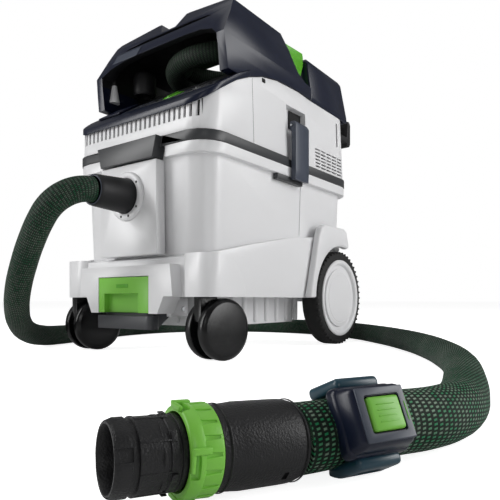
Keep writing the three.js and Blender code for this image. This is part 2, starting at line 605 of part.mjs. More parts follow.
// The remote control: a rubber strap round the hose, a housing and its push button.
const REMOTE_SHARE = 0.9862;
const REMOTE_TILT = 0.45;
const remote = new THREE.Group();
remote.position.copy(hosePath.getPointAt(REMOTE_SHARE));
const remoteAlong = hosePath.getTangentAt(REMOTE_SHARE).setZ(0).normalize();
const remoteSide = new THREE.Vector3(-remoteAlong.y, remoteAlong.x, 0);
const remoteOut = remoteSide.clone().multiplyScalar(Math.cos(REMOTE_TILT)).setZ(Math.sin(REMOTE_TILT));
const remoteAcross = new THREE.Vector3().crossVectors(remoteAlong, remoteOut);
remote.quaternion.setFromRotationMatrix(new THREE.Matrix4().makeBasis(remoteAlong, remoteOut, remoteAcross));
machine.add(remote);
const STRAP_INNER = HOSE_RADIUS + 1.25;
const STRAP_OUTER = HOSE_RADIUS + 2.5;
piece('remote_strap', turned([
  [STRAP_INNER, -12], [STRAP_OUTER, -12], [STRAP_OUTER, 12], [STRAP_INNER, 12],
], 'x', 20), black, remote);
const remoteOutline = outlineOf([[-21, -17], [21, -17], [21, 17], [-21, 17]]);
const remoteBody = plate(remoteOutline, 0, 13).rotateX(-Math.PI / 2);
const buttonWell = block(-11, 11, 7.5, 20, -9.6, 9.6);
piece('remote_housing', cut(
  remoteBody.translate(0, STRAP_OUTER + 0.5, 0),
  buttonWell.translate(0, STRAP_OUTER + 0.5, 0)), navy, remote);
piece('remote_button', block(-10.2, 10.2, STRAP_OUTER + 10.4, STRAP_OUTER + 14.8, -8.8, 8.8), green, remote);

// The second hose stowed in the bay, in flat turns with its end fitting.
const COIL_RADIUS = 84;
const COIL_HOSE_RADIUS = 18;
const COIL_PITCH = 38;
const COIL_TURNS = 1.1;
const coilPoints = [];
for (let i = 0; i <= 30; i += 1) {
  const turnAngle = Math.PI * 0.8 + (i / 30) * COIL_TURNS * 2 * Math.PI;
  coilPoints.push(new THREE.Vector3(
    32 + COIL_RADIUS * Math.cos(turnAngle), 153 + COIL_RADIUS * Math.sin(turnAngle),
    508 + COIL_HOSE_RADIUS + 1 + (i / 30) * COIL_TURNS * COIL_PITCH));
}
const coilSection = new THREE.Shape();
coilSection.absarc(0, 0, COIL_HOSE_RADIUS, 0, 2 * Math.PI, false);
piece('stowed_hose', new THREE.ExtrudeGeometry(coilSection, {
  steps: 20, bevelEnabled: false, curveSegments: 4, extrudePath: new THREE.CatmullRomCurve3(coilPoints),
}), braid);
piece('stowed_fitting', turned([
  [15, 0], [21, 0], [23, 6], [23, 40], [19, 46], [15, 46],
], 'z', 24).translate(-112, 92, 509), rubber);

export default assembly;
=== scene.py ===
import json
import math

import bmesh
import bpy
from mathutils import Matrix, Vector

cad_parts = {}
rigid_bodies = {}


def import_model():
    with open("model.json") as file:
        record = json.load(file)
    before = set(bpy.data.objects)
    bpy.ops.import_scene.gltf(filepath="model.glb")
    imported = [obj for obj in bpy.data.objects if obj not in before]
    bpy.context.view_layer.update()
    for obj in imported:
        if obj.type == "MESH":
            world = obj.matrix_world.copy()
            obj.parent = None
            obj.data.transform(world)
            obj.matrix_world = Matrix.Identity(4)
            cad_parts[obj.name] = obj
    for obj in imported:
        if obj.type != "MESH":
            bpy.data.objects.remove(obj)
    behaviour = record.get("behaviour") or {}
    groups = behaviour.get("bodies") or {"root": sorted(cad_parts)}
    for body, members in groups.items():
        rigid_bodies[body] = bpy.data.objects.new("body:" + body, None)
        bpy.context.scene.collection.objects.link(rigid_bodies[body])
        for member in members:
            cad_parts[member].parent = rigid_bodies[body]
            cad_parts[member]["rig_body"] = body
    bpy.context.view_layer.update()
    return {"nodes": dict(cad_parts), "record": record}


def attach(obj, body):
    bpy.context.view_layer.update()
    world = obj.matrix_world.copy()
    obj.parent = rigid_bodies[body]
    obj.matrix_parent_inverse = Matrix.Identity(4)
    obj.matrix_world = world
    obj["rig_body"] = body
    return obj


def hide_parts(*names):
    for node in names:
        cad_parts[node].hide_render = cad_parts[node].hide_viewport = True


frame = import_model()

# The studio. A low camera stands off the machine's front right corner, with wide soft lights to
# its left and right, a weak one overhead, and a plain white floor that runs out of sight.
camera = bpy.data.objects.new("camera", bpy.data.cameras.new("camera"))
bpy.context.scene.collection.objects.link(camera)
camera.location = (0.696, -0.8745, 0.0953)
camera.rotation_euler = (math.radians(90), 0, math.radians(36.7))
camera.data.sensor_width = 36
camera.data.lens = 37.48
camera.data.shift_y = 0.1
camera.data.clip_start = 0.01
bpy.context.scene.camera = camera


def softbox(name, place, aim, size, power, tint=(1, 1, 1)):
    lamp = bpy.data.lights.new(name, "AREA")
    lamp.shape = "RECTANGLE"
    lamp.size, lamp.size_y = size
    lamp.energy = power
    lamp.color = tint
    holder = bpy.data.objects.new(name, lamp)
    bpy.context.scene.collection.objects.link(holder)
    holder.location = place
    holder.rotation_euler = (Vector(aim) - Vector(place)).to_track_quat("-Z", "Y").to_euler()
    return holder


softbox("light_left", (-1.5, -2.2, 1.3), (0, -0.1, 0.3), (1.0, 2.2), 51)
softbox("light_right", (2.7, 1.1, 1.2), (0.1, 0.1, 0.3), (1.1, 2.2), 56)
softbox("light_front", (1.7, -1.9, 0.9), (0.5, -0.5, 0.05), (0.5, 0.5), 4)
softbox("light_top", (0.1, 0.1, 2.6), (0, 0, 0), (2.2, 2.2), 9)

world = bpy.data.worlds.new("studio")
bpy.context.scene.world = world
world.use_nodes = True
sky = world.node_tree.nodes["Background"]
sky.inputs["Color"].default_value = (1, 1, 1, 1)
seen = world.node_tree.nodes.new("ShaderNodeLightPath")
sky_strength = world.node_tree.nodes.new("ShaderNodeMapRange")
sky_strength.inputs["To Min"].default_value = 0.14
sky_strength.inputs["To Max"].default_value = 1.0
world.node_tree.links.new(seen.outputs["Is Camera Ray"], sky_strength.inputs["Value"])
world.node_tree.links.new(sky_strength.outputs[0], sky.inputs["Strength"])
bpy.context.scene.view_settings.view_transform = "Standard"

floor_mesh = bmesh.new()
bmesh.ops.create_grid(floor_mesh, x_segments=1, y_segments=1, size=30)
floor_data = bpy.data.meshes.new("floor")
floor_mesh.to_mesh(floor_data)
floor = bpy.data.objects.new("floor", floor_data)
bpy.context.scene.collection.objects.link(floor)
floor_paint = bpy.data.materials.new("floor_paint")
floor_paint.use_nodes = True
floor_shader = floor_paint.node_tree.nodes["Principled BSDF"]
floor_shader.inputs["Base Color"].default_value = (0.8, 0.8, 0.8, 1)
floor_shader.inputs["Roughness"].default_value = 0.9
floor_shader.inputs["Emission Color"].default_value = (1, 1, 1, 1)
floor_seen = floor_paint.node_tree.nodes.new("ShaderNodeLightPath")
floor_glow = floor_paint.node_tree.nodes.new("ShaderNodeMapRange")
floor_glow.inputs["To Min"].default_value = 0.05
floor_glow.inputs["To Max"].default_value = 0.85
floor_paint.node_tree.links.new(floor_seen.outputs["Is Camera Ray"], floor_glow.inputs["Value"])
floor_paint.node_tree.links.new(floor_glow.outputs[0], floor_shader.inputs["Emission Strength"])
floor_data.materials.append(floor_paint)


# The suction hose: a ribbed plastic hose in a woven sleeve, dark with rows of light green and
# white dashes. It leaves the inlet cuff, runs round behind the machine on the floor and comes
# forward to the tool coupling, a little narrower there. It is a round section carried along.
def node_in(tree, kind, values=None, **settings):
    made = tree.nodes.new(kind)
    for key, value in settings.items():
        setattr(made, key, value)
    for key, value in (values or {}).items():
        if isinstance(value, bpy.types.NodeSocket):
            tree.links.new(value, made.inputs[key])
        else:
            made.inputs[key].default_value = value
    return made


def maths(tree, operation, first, second=0.0, third=0.0):
    made = node_in(tree, "ShaderNodeMath", {0: first, 1: second, 2: third}, operation=operation)
    return made.outputs[0]


def empty_group(name, inputs, outputs):
    group = bpy.data.node_groups.new(name, "ShaderNodeTree")
    for label, kind, value in inputs:
        group.interface.new_socket(label, in_out="INPUT", socket_type=kind).default_value = value
    for label, kind in outputs:
        group.interface.new_socket(label, in_out="OUTPUT", socket_type=kind)
    return group, group.nodes.new("NodeGroupInput"), group.nodes.new("NodeGroupOutput")


COLOUR, NUMBER, VECTOR = "NodeSocketColor", "NodeSocketFloat", "NodeSocketVector"
weave, weave_in, weave_out = empty_group(
    "woven_sleeve",
    [("Ground", COLOUR, (0.01, 0.02, 0.015, 1)), ("Dash", COLOUR, (0.6, 0.8, 0.6, 1)),
     ("Dash Two", COLOUR, (0.1, 0.5, 0.25, 1)), ("Around", NUMBER, 34), ("Along", NUMBER, 210),
     ("Width", NUMBER, 0.3), ("Lay", NUMBER, 14)],
    [("Color", COLOUR), ("Roughness", NUMBER), ("Height", NUMBER)])
sleeve_uv = node_in(weave, "ShaderNodeUVMap", uv_map="UVMap")
split = node_in(weave, "ShaderNodeSeparateXYZ", {0: sleeve_uv.outputs[0]})
run = maths(weave, "MULTIPLY", split.outputs[1], weave_in.outputs["Along"])
row = maths(weave, "FLOOR", run)
turn = maths(weave, "MULTIPLY", split.outputs[0], weave_in.outputs["Around"])
skew = maths(weave, "MULTIPLY_ADD", split.outputs[1], weave_in.outputs["Lay"], turn)
stagger = maths(weave, "MULTIPLY_ADD", row, 0.5, skew)
across = maths(weave, "ABSOLUTE", maths(weave, "SUBTRACT", maths(weave, "FRACT", stagger), 0.5))
along = maths(weave, "ABSOLUTE", maths(weave, "SUBTRACT", maths(weave, "FRACT", run), 0.5))
inside = maths(weave, "MAXIMUM", maths(weave, "DIVIDE", across, 0.26),
               maths(weave, "DIVIDE", along, weave_in.outputs["Width"]))
dash = node_in(weave, "ShaderNodeMapRange", {0: inside, 1: 1.05, 2: 0.75, 3: 0.0, 4: 1.0}).outputs[0]
sleeve_place = node_in(weave, "ShaderNodeTexCoord")
patches = node_in(weave, "ShaderNodeTexNoise", {0: sleeve_place.outputs["Object"], "Scale": 9.0,
                                                "Detail": 2.0}).outputs[0]
cell = node_in(weave, "ShaderNodeCombineXYZ", {0: maths(weave, "FLOOR", stagger), 1: row}).outputs[0]
speck = node_in(weave, "ShaderNodeTexWhiteNoise", {0: cell}, noise_dimensions="2D").outputs[0]
greener = node_in(weave, "ShaderNodeMapRange",
                  {0: maths(weave, "ADD", patches, maths(weave, "MULTIPLY", speck, 0.5)),
                   1: 0.45, 2: 0.95, 3: 0.0, 4: 1.0}).outputs[0]
thread = node_in(weave, "ShaderNodeMix",
                 {0: greener, 6: weave_in.outputs["Dash"], 7: weave_in.outputs["Dash Two"]},
                 data_type="RGBA").outputs[2]
fine = maths(weave, "ABSOLUTE", maths(weave, "SUBTRACT", maths(
    weave, "FRACT", maths(weave, "MULTIPLY_ADD", turn, 3.0, maths(weave, "MULTIPLY", run, 1.5))), 0.5))
ground = node_in(weave, "ShaderNodeMix",
                 {0: maths(weave, "MULTIPLY", fine, 0.12), 6: weave_in.outputs["Ground"], 7: thread},
                 data_type="RGBA").outputs[2]
near_end = node_in(weave, "ShaderNodeMapRange",
                   {0: split.outputs[1], 1: 2.15, 2: 2.6, 3: 0.3, 4: 1.0}).outputs[0]
lit = maths(weave, "MULTIPLY", maths(weave, "MULTIPLY", dash, near_end),
            maths(weave, "MULTIPLY_ADD", speck, 0.6, 0.4))
sleeve_colour = node_in(weave, "ShaderNodeMix", {0: lit, 6: ground, 7: thread}, data_type="RGBA").outputs[2]
weave.links.new(sleeve_colour, weave_out.inputs["Color"])
weave.links.new(node_in(weave, "ShaderNodeMapRange", {0: dash, 3: 0.72, 4: 0.45}).outputs[0],
                weave_out.inputs["Roughness"])
weave.links.new(maths(weave, "ADD", maths(weave, "MULTIPLY", fine, 0.5), dash), weave_out.inputs["Height"])


def sleeve_material(name, ground_colour, dash_colour, second_colour, around, per_metre, lay):
    made = bpy.data.materials.new(name)
    made.use_nodes = True
    tree = made.node_tree
    shader = tree.nodes["Principled BSDF"]
    cloth = node_in(tree, "ShaderNodeGroup", node_tree=weave)
    cloth.inputs["Ground"].default_value = (*ground_colour, 1)
    cloth.inputs["Dash"].default_value = (*dash_colour, 1)
    cloth.inputs["Dash Two"].default_value = (*second_colour, 1)
    cloth.inputs["Around"].default_value = around
    cloth.inputs["Along"].default_value = per_metre
    cloth.inputs["Lay"].default_value = lay
    tree.links.new(cloth.outputs["Color"], shader.inputs["Base Color"])
    tree.links.new(cloth.outputs["Roughness"], shader.inputs["Roughness"])
    relief = node_in(tree, "ShaderNodeBump", {"Height": cloth.outputs["Height"], "Distance": 0.0006,
                                              "Strength": 0.7})
    tree.links.new(relief.outputs[0], shader.inputs["Normal"])
    shader.inputs["Specular IOR Level"].default_value = 0.25
    return made


def route_through(points, resolution=10):
    line = bpy.data.curves.new("route", "CURVE")
    line.dimensions = "3D"
    line.resolution_u = resolution
    spline = line.splines.new("BEZIER")
    spline.bezier_points.add(len(points) - 1)
    for knot, place in zip(spline.bezier_points, points):
        knot.co = place
        knot.handle_left_type = knot.handle_right_type = "AUTO"
    holder = bpy.data.objects.new("route", line)
    bpy.context.scene.collection.objects.link(holder)
    bpy.context.view_layer.update()
    polyline = holder.to_mesh()
    places = [v.co.copy() for v in polyline.vertices]
    holder.to_mesh_clear()
    bpy.data.objects.remove(holder)
    return places


def carried_tube(route, radius_at, sides):
    steps = [0.0]
    for here, there in zip(route, route[1:]):
        steps.append(steps[-1] + (there - here).length)
    shape = bmesh.new()
    around = shape.verts.layers.float.new("around")
    far = shape.verts.layers.float.new("far")
    heading = (route[1] - route[0]).normalized()
    turn_to = heading.to_track_quat("Z", "Y")
    place = Matrix.Translation(route[0]) @ turn_to.to_matrix().to_4x4()
    ring = bmesh.ops.create_circle(shape, radius=1, segments=sides)["verts"]
    for index, vert in enumerate(ring):
        vert[around] = index / sides
    bmesh.ops.transform(shape, matrix=place @ Matrix.Scale(radius_at(0), 4), verts=ring)
    edges = list(shape.edges)
    for index in range(1, len(route)):
        after = route[min(index + 1, len(route) - 1)] - route[index - 1]
        next_turn = heading.rotation_difference(after.normalized()) @ turn_to
        moved = Matrix.Translation(route[index]) @ next_turn.to_matrix().to_4x4()
        moved = moved @ Matrix.Scale(radius_at(steps[index] / steps[-1]), 4)
        back = (Matrix.Translation(route[index - 1]) @ turn_to.to_matrix().to_4x4()
                @ Matrix.Scale(radius_at(steps[index - 1] / steps[-1]), 4)).inverted()
        grown = bmesh.ops.extrude_edge_only(shape, edges=edges)["geom"]
        ring = [g for g in grown if isinstance(g, bmesh.types.BMVert)]
        edges = [g for g in grown if isinstance(g, bmesh.types.BMEdge)]
        bmesh.ops.transform(shape, matrix=moved @ back, verts=ring)
        for vert in ring:
            vert[far] = steps[index]
        heading, turn_to = after.normalized(), next_turn
    uv = shape.loops.layers.uv.new("UVMap")
    for face in shape.faces:
        wraps = max(v[around] for v in face.verts) > 0.6
        for loop in face.loops:
            share = loop.vert[around]
            loop[uv].uv = (share + 1 if wraps and share < 0.4 else share, loop.vert[far])
    bmesh.ops.holes_fill(shape, edges=shape.edges, sides=0)
    bmesh.ops.recalc_face_normals(shape, faces=shape.faces)
    return shape, steps[-1]


def show(name, shape, material, body, nodes=(), slot=None, soften=0.0, rounds=2, sharp=35, cuts=(),
         inside=None):
    data = bpy.data.meshes.new(name)
    shape.to_mesh(data)
    shape.free()
    piece = bpy.data.objects.new(name, data)
    bpy.context.scene.collection.objects.link(piece)
    tools = []
    for cut in cuts:
        tool_data = bpy.data.meshes.new("tool")
        cut.to_mesh(tool_data)
        cut.free()
        tool = bpy.data.objects.new("tool", tool_data)
        bpy.context.scene.collection.objects.link(tool)
        tools.append(tool)
        carve = piece.modifiers.new("carve", "BOOLEAN")
        carve.operation = "DIFFERENCE"
        carve.solver = "EXACT"
        carve.object = tool
    if tools:
        seen_by = bpy.context.evaluated_depsgraph_get()
        data = bpy.data.meshes.new_from_object(piece.evaluated_get(seen_by))
        piece.modifiers.clear()
        piece.data = data
        data.name = name
        for tool in tools:
            bpy.data.objects.remove(tool)
    data.materials.clear()
    data.materials.append(material)
    if inside:
        data.materials.append(inside[0])
        for face in data.polygons:
            face.material_index = int(inside[1](face.center, face.normal))
    data.shade_smooth()
    if soften:
        edge = piece.modifiers.new("soft_edges", "BEVEL")
        edge.width = soften
        edge.segments = rounds
        edge.limit_method = "ANGLE"
        edge.angle_limit = math.radians(sharp)
        edge.harden_normals = True
    else:
        data.set_sharp_from_angle(angle=math.radians(sharp))
    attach(piece, body)
    if nodes:
        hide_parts(*nodes)
    return piece


hose_knots = [
    (0, -361.5, 271), (-1.3, -377, 269.5), (-5.2, -391.5, 265), (-11.5, -403.9, 257.7),
    (-19.6, -413.5, 248.2), (-29, -419.5, 237.2), (-40, -422.5, 224), (-66, -424, 191),
    (-95, -421.5, 152), (-124, -414.5, 114), (-158, -397.5, 80), (-196, -370.5, 54),
    (-234, -332.5, 35), (-270, -280.5, 24), (-302, -218.5, 20.6), (-338, -132.5, 20.2),
    (-378, -22.5, 20.2), (-404, 87.5, 20.2), (-398, 197.5, 20.2), (-345, 297.5, 20.2),
    (-250, 363.5, 20.2), (-130, 391.5, 20.2), (0, 371.5, 20.2), (128, 303.5, 20.2),
    (246, 197.5, 20.2), (337, 94.5, 20.2), (409, -6.5, 20.2), (480, -132.5, 20.2),
    (532, -252.5, 20.2), (568, -372.5, 20.2), (588, -455, 20.2), (594, -488, 20.2),
    (594.5, -520, 20.8), (589, -551, 21.8), (578.5, -576.5, 22.6), (566.5, -599.5, 22.5),
    (556.5, -620.5, 21.3), (548.7, -638.8, 21.4),
]
hose_route = route_through([Vector(p) / 1000 for p in hose_knots])
hose_shape, hose_length = carried_tube(hose_route, lambda share: 0.0205 - 0.0015 * share, 32)
hose = show("hose_sleeve", hose_shape, sleeve_material(
    "sleeve_braid", (0.0015, 0.004, 0.0025), (0.55, 0.72, 0.55), (0.02, 0.26, 0.1), 46, 235, 70),
    "base", ["hose"], "hose_braid")

# The moulded plastics that the whole machine is made of: one fine grain with a slow unevenness in
# tone and gloss, used in each colour. Every moulded piece takes its own colour and polish.
skin, skin_in, skin_out = empty_group(
    "moulded_skin",
    [("Tint", COLOUR, (0.8, 0.8, 0.8, 1)), ("Unevenness", NUMBER, 0.04), ("Gloss Loss", NUMBER, 0.4),
     ("Grain", NUMBER, 1400)],
    [("Color", COLOUR), ("Roughness", NUMBER), ("Height", NUMBER)])
skin_place = node_in(skin, "ShaderNodeTexCoord").outputs["Object"]
drift = node_in(skin, "ShaderNodeTexNoise", {0: skin_place, "Scale": 7.0, "Detail": 4.0}).outputs[0]
grain = node_in(skin, "ShaderNodeTexNoise", {0: skin_place, "Scale": skin_in.outputs["Grain"],
                                             "Detail": 2.0}).outputs[0]
tone = maths(skin, "MULTIPLY_ADD", maths(skin, "SUBTRACT", drift, 0.5),
             maths(skin, "MULTIPLY", skin_in.outputs["Unevenness"], 2.0), 1.0)
toned = node_in(skin, "ShaderNodeVectorMath", {0: skin_in.outputs["Tint"], 3: tone}, operation="SCALE")
skin.links.new(toned.outputs[0], skin_out.inputs["Color"])
matt = maths(skin, "MULTIPLY_ADD", maths(skin, "SUBTRACT", drift, 0.5), 0.12,
             maths(skin, "MULTIPLY_ADD", grain, 0.06, skin_in.outputs["Gloss Loss"]))
skin.links.new(matt, skin_out.inputs["Roughness"])
skin.links.new(grain, skin_out.inputs["Height"])


def moulded(name, colour, roughness, unevenness=0.03, grain_scale=1400, relief=0.00004, coat=0.0,
            metal=0.0, strength=0.5):
    made = bpy.data.materials.new(name)
    made.use_nodes = True
    tree = made.node_tree
    shader = tree.nodes["Principled BSDF"]
    surface = node_in(tree, "ShaderNodeGroup", node_tree=skin)
    surface.inputs["Tint"].default_value = (*colour, 1)
    surface.inputs["Unevenness"].default_value = unevenness
    surface.inputs["Gloss Loss"].default_value = roughness
    surface.inputs["Grain"].default_value = grain_scale
    tree.links.new(surface.outputs["Color"], shader.inputs["Base Color"])
    tree.links.new(surface.outputs["Roughness"], shader.inputs["Roughness"])
    bump = node_in(tree, "ShaderNodeBump", {"Height": surface.outputs["Height"], "Distance": relief,
                                            "Strength": strength})
    tree.links.new(bump.outputs[0], shader.inputs["Normal"])
    shader.inputs["Metallic"].default_value = metal
    shader.inputs["Coat Weight"].default_value = coat
    shader.inputs["Coat Roughness"].default_value = 0.12
    shader.inputs["Specular IOR Level"].default_value = 0.5 if max(colour) > 0.03 else 0.34
    return made


white_shell = moulded("white_shell", (0.78, 0.78, 0.79), 0.3, 0.015)
navy_shell = moulded("navy_shell", (0.006, 0.009, 0.024), 0.27, 0.1, relief=0.00006)
slate_face = moulded("slate_face", (0.05, 0.06, 0.085), 0.36, 0.06)
teal_strap = moulded("teal_strap", (0.012, 0.05, 0.075), 0.32, 0.08)
band_grey = moulded("band_grey", (0.035, 0.037, 0.04), 0.38, 0.05)
catch_grey = moulded("catch_grey", (0.16, 0.165, 0.17), 0.42, 0.05)
lime_gloss = moulded("lime_gloss", (0.1, 0.4, 0.02), 0.34, 0.04)
lime_pale = moulded("lime_pale", (0.2, 0.55, 0.06), 0.38, 0.04)
black_gloss = moulded("black_gloss", (0.004, 0.004, 0.0045), 0.24, 0.1)
black_matt = moulded("black_matt", (0.008, 0.008, 0.009), 0.5, 0.1, relief=0.00008)
tyre_black = moulded("tyre_black", (0.009, 0.009, 0.009), 0.62, 0.15, 800, 0.00015)
pedal_dark = moulded("pedal_dark", (0.05, 0.052, 0.058), 0.42, 0.08)
stipple_black = moulded("stipple_black", (0.012, 0.012, 0.013), 0.42, 0.12, 900, 0.0004, strength=0.8)
bright_steel = moulded("bright_steel", (0.55, 0.56, 0.58), 0.25, 0.05, metal=1.0)
cast_alloy = moulded("cast_alloy", (0.42, 0.42, 0.44), 0.5, 0.08, 500, 0.0002, metal=0.9)
filter_paper = moulded("filter_paper", (0.6, 0.55, 0.42), 0.8, 0.08, 300, 0.0004)
# Flat black used as painted shade in the seams, slots, ports and hollows of the head, and also for the collar
# screws.
shade_and_screw_black = moulded("shade_and_screw_black", (0.003, 0.003, 0.003), 0.7)


def cad_copy(node):
    shape = bmesh.new()
    shape.from_mesh(frame["nodes"][node].data)
    bmesh.ops.remove_doubles(shape, verts=shape.verts, dist=2e-6)
    bmesh.ops.dissolve_limit(shape, angle_limit=math.radians(1), verts=shape.verts, edges=shape.edges)
    return shape


def body_named(node):
    return frame["nodes"][node]["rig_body"]


slots = {s["node"]: s["material_slot"] for s in frame["record"]["subparts"]}
UPRIGHT = Matrix.Identity(4)


def block(low, high, round_off=0.0, place=UPRIGHT):
    size = (Vector(high) - Vector(low)) / 1000
    middle = (Vector(high) + Vector(low)) / 2000
    shape = bmesh.new()
    bmesh.ops.create_cube(shape, size=1, matrix=Matrix.Translation(middle) @ Matrix.Diagonal((*size, 1)))
    if round_off:
        bmesh.ops.bevel(shape, geom=shape.edges, offset=round_off / 1000, affect="EDGES", segments=3,
                        profile=0.5, material=-1)
    bmesh.ops.transform(shape, matrix=place, verts=shape.verts)
    return shape


def gathered(shapes):
    whole = bmesh.new()
    for shape in shapes:
        part = bpy.data.meshes.new("part")
        shape.to_mesh(part)
        shape.free()
        whole.from_mesh(part)
        bpy.data.meshes.remove(part)
    return whole


def turned(profile, place=UPRIGHT, sides=64, closed=True):
    shape = bmesh.new()
    verts = [shape.verts.new((radius / 1000, along / 1000, 0)) for radius, along in profile]
    ends = verts[1:] + verts[:1] if closed else verts[1:]
    edges = [shape.edges.new(pair) for pair in zip(verts, ends)]
    bmesh.ops.spin(shape, geom=verts + edges, cent=(0, 0, 0), axis=(0, 1, 0), angle=math.tau,
                   steps=sides, use_merge=True)
    bmesh.ops.remove_doubles(shape, verts=shape.verts, dist=1e-6)
    bmesh.ops.recalc_face_normals(shape, faces=shape.faces)
    bmesh.ops.transform(shape, matrix=place, verts=shape.verts)
    return shape


def made(name, node, shape, material, **extra):
    return show(name, shape, material, body_named(node), extra.pop("nodes", ()), slots[node], **extra)


# The tool coupling, a stippled rubber sleeve, a green locking ring with a lipped edge, lugs and a
# hooked notch, and a bayonet end with grooves and sunk panels. All three turn on one axis, in
# which Y runs from the hose to the open mouth.
coupling_heading = Vector((-0.3952, -0.9175, 0.045)).normalized()
coupling = (Matrix.Translation((0.5485, -0.6391, 0.0214))
            @ Vector((0, 1, 0)).rotation_difference(coupling_heading).to_matrix().to_4x4())


def taper(shape, place, low, high, share_x, share_z, lean=0.0):
    back = place.inverted()
    for vert in shape.verts:
        local = back @ vert.co
        rise = min(max((local.y * 1000 - low) / (high - low), 0), 1)
        local.x *= 1 - (1 - share_x) * rise
        local.z = local.z * (1 - (1 - share_z) * rise) + lean * rise / 1000
        vert.co = place @ local
    return shape


def spun_to(angle):
    return coupling @ Matrix.Rotation(math.radians(angle), 4, "Y")


made("sleeve_rubber", "coupling_sleeve", turned([
    (16, 1), (18.4, 1), (19.3, 1.6), (20, 2.8), (20.5, 4), (21.2, 6.5), (21.5, 9), (21.6, 14), (21.6, 36),
    (21.2, 40), (20.9, 44), (20.8, 50.4), (16, 50.6)], coupling, 72), stipple_black,
    nodes=["coupling_sleeve"], sharp=50, cuts=[block(
        (-2.6, 14, 19.6), (2.6, 17, 26), 0.3, spun_to(angle)) for angle in (66, 246)])
made("sleeve_bands", "coupling_sleeve", gathered([turned([
    (21, along), (21.5, along + 0.3), (21.5, along + 0.9), (21, along + 1.2)], coupling, 72)
    for along in (3.6, 46)]), stipple_black, sharp=60)
ring_cuts = [block((-6, 62.8, 19.6), (5, 70, 24), 1, spun_to(angle)) for angle in (98, 188, 278, 8)]
made("ring_green", "locking_ring", turned([
    (16.5, 51), (21.4, 51), (21.9, 51.4), (22, 52.6), (21.5, 53.2), (21.4, 60), (22.1, 60.6), (22.3, 62),
    (22, 64.6), (21.4, 66.6), (20.8, 67), (18.8, 67), (16.5, 62)], coupling, 72), lime_pale,
    nodes=["locking_ring"], sharp=40, cuts=ring_cuts)
made("ring_lugs", "locking_ring", gathered([
    taper(block((-3.2, 51.6, 20.4), (3.2, 61.4, 22.25), 0.5, spun_to(angle)), spun_to(angle), 51, 62, 0.8, 0.985)
    for angle in range(0, 360, 20)]), lime_pale)
made("ring_hooks", "locking_ring", gathered([
    block((5.2, 58, 20.6), (8.4, 67.2, 22.6), 0.7, spun_to(angle)) for angle in (98, 188, 278, 8)]
    + [block((-3, 65.4, 19.4), (7.5, 67.4, 22.2), 0.6, spun_to(angle)) for angle in (98, 188, 278, 8)]),
    lime_pale)
made("bayonet_tube", "bayonet_end", turned([
    (14, 51), (16.1, 51), (16.1, 67.4), (17.8, 67.4), (17.8, 69.4), (17.2, 69.7), (17.2, 70.9), (17.8, 71.2),
    (17.8, 74.6), (17.3, 75), (17.3, 75.8), (17.8, 76.2), (17.8, 88.6), (16.7, 89), (16.7, 91.6),
    (17.8, 92), (17.8, 96.6), (17.2, 98.3), (16.3, 99.4), (15.3, 99.4), (14.5, 98), (14, 94)],
    coupling, 72), stipple_black, nodes=["bayonet_end"], sharp=40,
    cuts=[block((-5.6, 78, 17.15), (5.6, 87.6, 21), 0.3, spun_to(angle)) for angle in range(20, 380, 45)]
    + [block((-3, 91.4, 15.9), (3, 101, 21), 0.3, spun_to(angle)) for angle in (30, 120, 210, 300)])
made("bayonet_keys", "bayonet_end", gathered([
    block((-0.5, 72, 17.2), (0.5, 88.5, 18), 0.2, spun_to(angle)) for angle in range(0, 360, 45)]
    + [block((1.2, 71.6, 17.2), (6.4, 74.4, 18.05), 0.3, spun_to(angle)) for angle in range(8, 368, 60)]),
    stipple_black)

# The remote control, a moulded housing with a domed push button on a rubber strap round the hose.
# The strap swells into a finger lug on each side, one of them with an oval recess.
along_hose = Vector((-0.43811, -0.89892, 0))
outward = Vector((0.80943, -0.3945, 0.43497))
over_hose = Vector((-0.391, 0.19056, 0.90045))
remote = Matrix((along_hose, outward, over_hose)).transposed().to_4x4()
remote.translation = (0.563862, -0.604849, 0.022243)
hose_wise = remote @ Matrix.Rotation(math.radians(-90), 4, "Z")


made("remote_band", "remote_strap", turned([
    (21.25, -12), (22.1, -12), (22.5, -11.4), (22.5, 11.4), (22.1, 12), (21.25, 12)], hose_wise, 64),
    teal_strap, nodes=["remote_strap"])
made("remote_lugs", "remote_strap", gathered([
    taper(block((-17, -6, 18.5), (17, 21, 26), 3, remote), remote, -6, 21, 0.86, 0.94),
    taper(block((-17, -6, -26), (17, 21, -18.5), 3, remote), remote, -6, 21, 0.86, 0.94)]),
    teal_strap, sharp=50, cuts=[
        block((-9, 2, 24.2), (9, 12, 32), 2.2, remote), block((-9, 2, -32), (9, 12, -24.2), 2.2, remote)])
made("remote_shell", "remote_housing", gathered([
    taper(block((-21, 14, -19.5), (21, 25, 19.5), 4, remote), remote, 14, 25, 0.97, 0.95),
    taper(block((-20.6, 20, -18.4), (20.6, 34.6, 18.4), 4, remote), remote, 20, 34.6, 0.8, 0.82)]),
    navy_shell, nodes=["remote_housing"], sharp=50,
    cuts=[block((-11, 31.5, -9.5), (11, 40, 9.5), 1.5, remote)])
made("remote_rim", "remote_housing", block((-15.8, 33.8, -14), (15.8, 35.3, 14), 0.6, remote), slate_face,
     cuts=[block((-11.6, 30, -10), (11.6, 40, 10), 1.5, remote)])
made("remote_edge", "remote_housing", block((-20.4, 24.5, -11), (-17.4, 31, 11), 1.2, remote), lime_pale)
made("remote_slit", "remote_housing", block((-14.4, 35.0, -5), (-13.5, 35.5, 5), 0.2, remote), lime_gloss)
made("button_cap", "remote_button", block((-10.4, 30, -8.9), (10.4, 36.6, 8.9), 1.8, remote), lime_pale,
     nodes=["remote_button"], sharp=50)
made("button_ribs", "remote_button", gathered([
    block((-6, 36.3, along - 0.3), (6, 36.95, along + 0.3), 0.2, remote) for along in (-4.5, -1.5, 1.5, 4.5)]),
    lime_pale)

